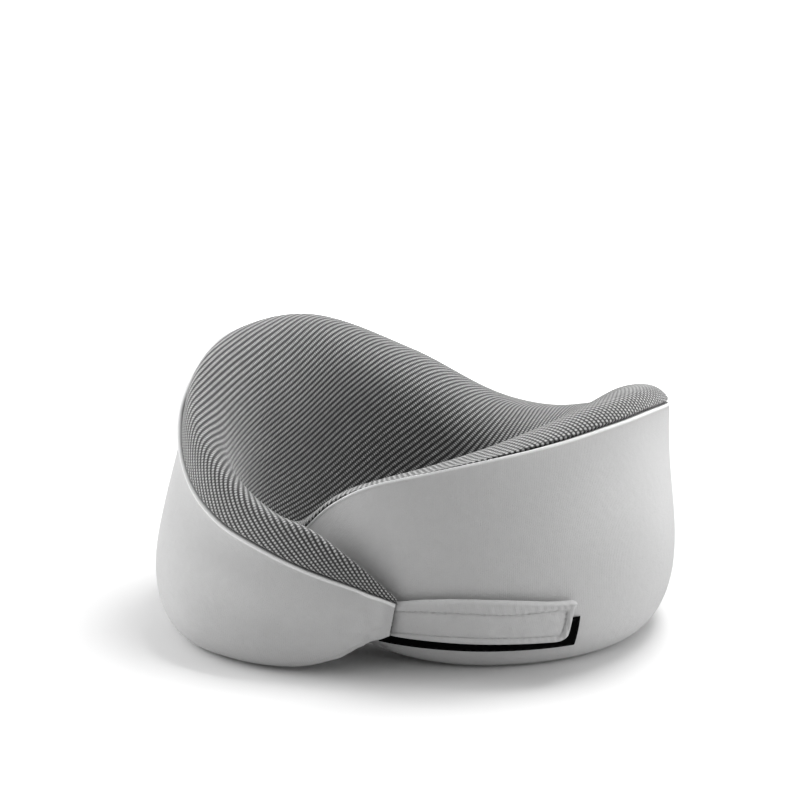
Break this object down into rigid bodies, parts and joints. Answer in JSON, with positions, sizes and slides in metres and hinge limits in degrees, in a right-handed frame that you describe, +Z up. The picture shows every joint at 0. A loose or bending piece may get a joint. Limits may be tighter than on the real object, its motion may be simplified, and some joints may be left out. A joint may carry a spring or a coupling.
{
  "type": "neck pillow",
  "caption": "U shaped travel neck pillow: a foam ring in a smooth and mesh cover whose overlapping front ends close with a hook and loop strap.",
  "frame": {"origin": "middle of the bounding box in plan, on the face the pillow rests on; the centre of the neck opening is 1.7 mm to the -X side and 10.5 mm to the +Y side of it", "axes": "+Z up, +Y towards the nape of the neck, -Y towards the throat where the ends overlap, +X towards the hump that lies on the right of someone facing the strap"},
  "size_m": [0.2623, 0.2628, 0.1291],
  "materials": {
    "foam": "slow rebound polyurethane memory foam, open cell",
    "liner_knit": "thin white stretch knit",
    "cover_fabric": "smooth light gray double knit, soft matt sheen",
    "spacer_mesh": "breathable 3D spacer mesh, pale dots on dark gray ground",
    "zip_tape": "woven zip tape",
    "zip_teeth": "moulded polyester teeth",
    "zip_metal": "satin metal",
    "strap_fabric": "folded double knit with a sewn hem",
    "hook_tape": "moulded hook tape",
    "thread": "twisted polyester thread",
    "loop_tape": "brushed loop tape",
    "dark_thread": "twisted polyester thread"
  },
  "bodies": {
    "back": {"foam_core_back": "foam", "foam_liner_back": "liner_knit", "outer_cover_back": "cover_fabric", "mesh_panel_back": "spacer_mesh", "zip_tape_outer": "zip_tape", "zip_tape_inner": "zip_tape", "zip_teeth_outer": "zip_teeth", "zip_teeth_inner": "zip_teeth", "zip_top_stop": "zip_metal", "zip_bottom_stop": "zip_metal"},
    "left_arm": {"foam_core_left": "foam", "foam_liner_left": "liner_knit", "outer_cover_left": "cover_fabric", "mesh_panel_left": "spacer_mesh"},
    "right_arm": {"foam_core_right": "foam", "foam_liner_right": "liner_knit", "outer_cover_right": "cover_fabric", "mesh_panel_right": "spacer_mesh", "loop_patch": "loop_tape", "loop_patch_stitching": "dark_thread"},
    "strap": {"strap_fabric": "strap_fabric", "strap_hook_pad": "hook_tape", "strap_stitching": "thread"},
    "zip_slider": {"zip_slider": "zip_metal"},
    "zip_pull": {"zip_pull_tab": "zip_metal"}
  },
  "joints": [
    {"name": "left_flex", "type": "hinge", "parent": "back", "child": "left_arm", "pos_m": [-0.1327, -0.00096, 0], "axis": [0, 0, -1], "range_deg": [0, 45], "stiffness_Nm_per_rad": 1.2},
    {"name": "right_flex", "type": "hinge", "parent": "back", "child": "right_arm", "pos_m": [0.13358, -0.00134, 0], "axis": [0, 0, 1], "range_deg": [0, 22.5], "stiffness_Nm_per_rad": 1.2},
    {"name": "strap_open", "type": "hinge", "parent": "left_arm", "child": "strap", "pos_m": [0.04163, -0.106, 0], "axis": [0, 0, -1], "range_deg": [0, 150]},
    {"name": "zip_travel", "type": "hinge", "parent": "back", "child": "zip_slider", "pos_m": [-0.0017, 0.0105, 0], "axis": [0, 0, 1], "range_deg": [0, 80.8]},
    {"name": "pull_tab_swing", "type": "hinge", "parent": "zip_slider", "child": "zip_pull", "pos_m": [0.05937, 0.0767, 0.0019], "axis": [-0.6481, -0.7615, 0], "range_deg": [0, 150]}
  ],
  "couplings": [
    {"joint": "right_flex", "follows": "left_flex", "ratio": 0.5}
  ]
}
